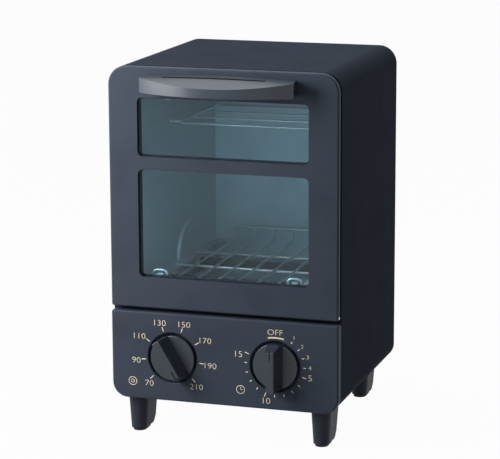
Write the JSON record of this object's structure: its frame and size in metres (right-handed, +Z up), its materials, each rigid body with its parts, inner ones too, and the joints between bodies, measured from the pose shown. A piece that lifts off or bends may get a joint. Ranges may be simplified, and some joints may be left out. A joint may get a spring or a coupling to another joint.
{
  "type": "toaster oven",
  "caption": "Upright compact toaster oven with a glazed drop-down door, crescent pull handle, rotary heat and time controls, wire rack, rear crumb tray and tapered feet.",
  "frame": {"origin": "middle of the whole footprint, handle and tray grip included, on the surface the feet stand on", "axes": "+X to the oven's right as seen from the front, +Y from the door to the rear, +Z up"},
  "size_m": [0.216, 0.2554, 0.3425],
  "materials": {
    "case_paint": "fine matt powder coat, near black",
    "front_paint": "fine matt powder coat, dark slate",
    "galvanised_steel": "galvanised sheet, dull",
    "aluminised_steel": "aluminised sheet, satin",
    "bright_wire": "bright nickel plate",
    "door_glass": "clear toughened glass, faint blue",
    "quartz": "milky quartz",
    "heater_wire": "oxidised resistance wire",
    "handle_plastic": "satin charcoal",
    "knob_plastic": "satin charcoal",
    "foot_plastic": "fine matt charcoal",
    "pad_rubber": "matt black",
    "zinc_fasteners": "zinc plated",
    "black_fasteners": "black zinc",
    "control_ceramic": "unglazed steatite",
    "timer_housing": "moulded cream",
    "bell_brass": "spun brass",
    "bushing_plastic": "moulded black"
  },
  "bodies": {
    "cabinet": {"back_liner": "aluminised_steel", "back_panel": "galvanised_steel", "back_screws": "black_fasteners", "base_plate": "galvanised_steel", "bay_shield": "galvanised_steel", "bushing_nuts": "zinc_fasteners", "ceiling_liner": "aluminised_steel", "control_panel": "front_paint", "cord_bushing": "bushing_plastic", "foot_front_left": "foot_plastic", "foot_front_right": "foot_plastic", "foot_pads": "pad_rubber", "foot_rear_left": "foot_plastic", "foot_rear_right": "foot_plastic", "foot_screws": "zinc_fasteners", "front_frame": "case_paint", "heater_caps": "control_ceramic", "hinge_brackets": "galvanised_steel", "lower_heater_coil_front": "heater_wire", "lower_heater_coil_rear": "heater_wire", "lower_heater_tube_front": "quartz", "lower_heater_tube_rear": "quartz", "outer_case": "case_paint", "rack_support_left": "aluminised_steel", "rack_support_right": "aluminised_steel", "rear_spacers": "zinc_fasteners", "side_liner_left": "aluminised_steel", "side_liner_right": "aluminised_steel", "terminal_block": "control_ceramic", "thermostat": "control_ceramic", "timer": "timer_housing", "timer_bell": "bell_brass", "tray_guide_left": "galvanised_steel", "tray_guide_right": "galvanised_steel", "upper_guard": "bright_wire", "upper_heater_coil_front": "heater_wire", "upper_heater_coil_rear": "heater_wire", "upper_heater_tube_front": "quartz", "upper_heater_tube_rear": "quartz"},
    "door": {"door_panel": "front_paint", "door_glass": "door_glass", "door_inner_frame": "aluminised_steel", "door_spacers": "zinc_fasteners", "door_screws": "zinc_fasteners", "rack_catches": "aluminised_steel", "hinge_rod": "bright_wire", "door_handle": "handle_plastic", "handle_screws": "zinc_fasteners"},
    "rack": {"wire_rack": "bright_wire"},
    "heater_control": {"heater_knob": "knob_plastic", "thermostat_shaft": "zinc_fasteners"},
    "timer_control": {"timer_knob": "knob_plastic", "timer_shaft": "zinc_fasteners"},
    "tray": {"crumb_tray": "aluminised_steel"}
  },
  "joints": [
    {"name": "door_hinge", "type": "hinge", "parent": "cabinet", "child": "door", "pos_m": [0, -0.08785, 0.1234], "axis": [1, 0, 0], "range_deg": [0, 90]},
    {"name": "rack_slide", "type": "slide", "parent": "cabinet", "child": "rack", "axis": [0, -1, 0], "range_m": [0, 0.03]},
    {"name": "heater_knob_turn", "type": "hinge", "parent": "cabinet", "child": "heater_control", "pos_m": [-0.049, -0.09125, 0.0755], "axis": [0, 1, 0], "range_deg": [-298, 0]},
    {"name": "timer_knob_turn", "type": "hinge", "parent": "cabinet", "child": "timer_control", "pos_m": [0.049, -0.09125, 0.0755], "axis": [0, 1, 0], "range_deg": [0, 291.5]},
    {"name": "tray_slide", "type": "slide", "parent": "cabinet", "child": "tray", "axis": [0, 1, 0], "range_m": [0, 0.17]}
  ],
  "couplings": [
    {"joint": "rack_slide", "follows": "door_hinge", "m_per_rad": 0.01909}
  ]
}
